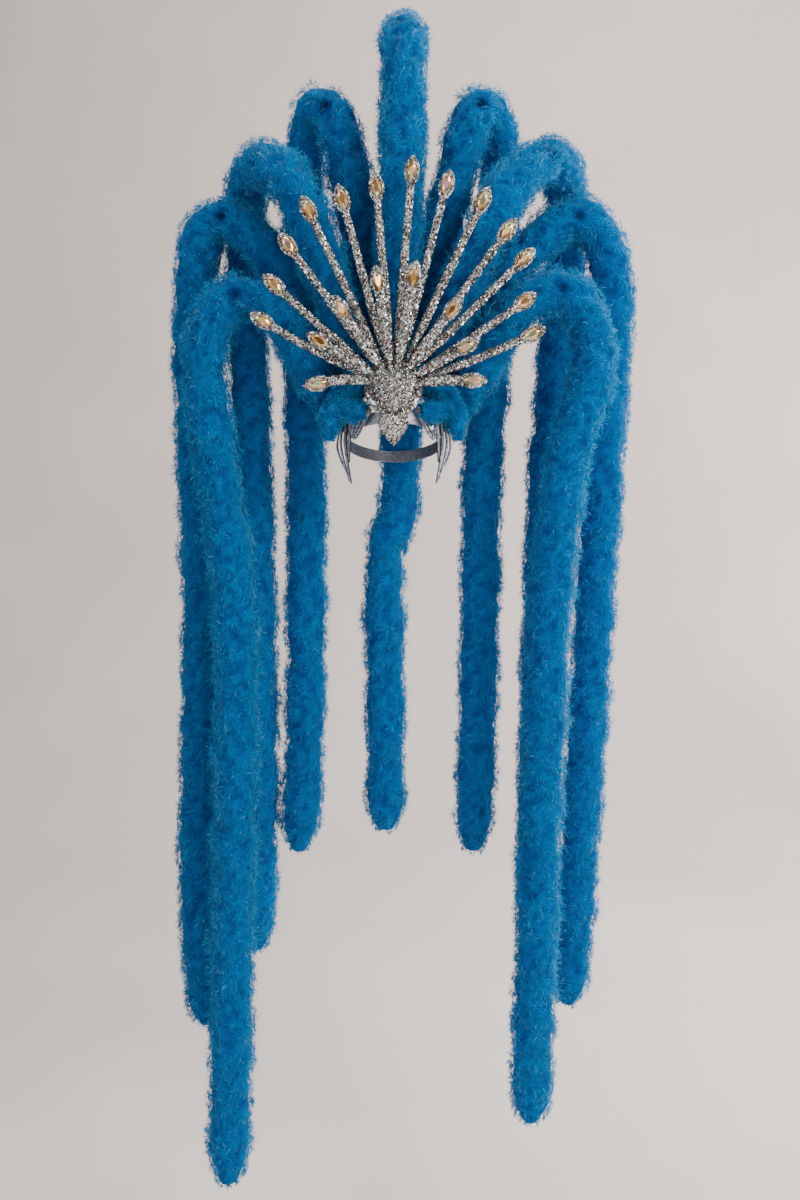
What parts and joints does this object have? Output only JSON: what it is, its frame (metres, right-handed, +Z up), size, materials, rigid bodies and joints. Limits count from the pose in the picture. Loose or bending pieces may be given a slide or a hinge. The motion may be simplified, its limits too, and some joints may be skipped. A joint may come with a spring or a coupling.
{
  "type": "feather headdress",
  "caption": "Showgirl headdress: arching turquoise feather boas with long hanging tails behind a fan of glittered stems with crystal tips, on a head frame.",
  "frame": {"origin": "the middle of the head band, level with the temples, where the head sits", "axes": "+Z up out of the crown, -Y to the front where the fan faces, +X to the viewer's right"},
  "size_m": [0.8759, 0.3521, 2.1602],
  "materials": {
    "silver_frame": "satin",
    "silver_glitter": "dense silver glitter",
    "aurora_crystal": "cut, with a rainbow coating",
    "mirror_glass": "polished",
    "turquoise_marabou": "soft down"
  },
  "bodies": {
    "root": {"boa_centre": "turquoise_marabou", "boa_left_1": "turquoise_marabou", "boa_left_2": "turquoise_marabou", "boa_left_3": "turquoise_marabou", "boa_left_4": "turquoise_marabou", "boa_right_1": "turquoise_marabou", "boa_right_2": "turquoise_marabou", "boa_right_3": "turquoise_marabou", "boa_right_4": "turquoise_marabou", "boss": "silver_glitter", "feather_ruff": "turquoise_marabou", "head_frame": "silver_frame", "leaf_drop": "silver_glitter", "long_stem_01": "silver_glitter", "long_stem_01_stone": "aurora_crystal", "long_stem_02": "silver_glitter", "long_stem_02_stone": "aurora_crystal", "long_stem_03": "silver_glitter", "long_stem_03_stone": "aurora_crystal", "long_stem_04": "silver_glitter", "long_stem_04_stone": "aurora_crystal", "long_stem_05": "silver_glitter", "long_stem_05_stone": "aurora_crystal", "long_stem_06": "silver_glitter", "long_stem_06_stone": "aurora_crystal", "long_stem_07": "silver_glitter", "long_stem_07_stone": "aurora_crystal", "long_stem_08": "silver_glitter", "long_stem_08_stone": "aurora_crystal", "long_stem_09": "silver_glitter", "long_stem_09_stone": "aurora_crystal", "long_stem_10": "silver_glitter", "long_stem_10_stone": "aurora_crystal", "long_stem_11": "silver_glitter", "long_stem_11_stone": "aurora_crystal", "long_stem_12": "silver_glitter", "long_stem_12_stone": "aurora_crystal", "long_stem_13": "silver_glitter", "long_stem_13_stone": "aurora_crystal", "mirror_left": "mirror_glass", "mirror_right": "mirror_glass", "mirror_wing": "mirror_glass", "short_stem_1": "silver_glitter", "short_stem_1_stone": "aurora_crystal", "short_stem_2": "silver_glitter", "short_stem_2_stone": "aurora_crystal", "short_stem_3": "silver_glitter", "short_stem_3_stone": "aurora_crystal", "short_stem_4": "silver_glitter", "short_stem_4_stone": "aurora_crystal", "short_stem_5": "silver_glitter", "short_stem_5_stone": "aurora_crystal", "short_stem_6": "silver_glitter", "short_stem_6_stone": "aurora_crystal", "short_stem_7": "silver_glitter", "short_stem_7_stone": "aurora_crystal", "short_stem_8": "silver_glitter", "short_stem_8_stone": "aurora_crystal", "wing_left": "silver_frame", "wing_right": "silver_frame"}
  },
  "joints": []
}
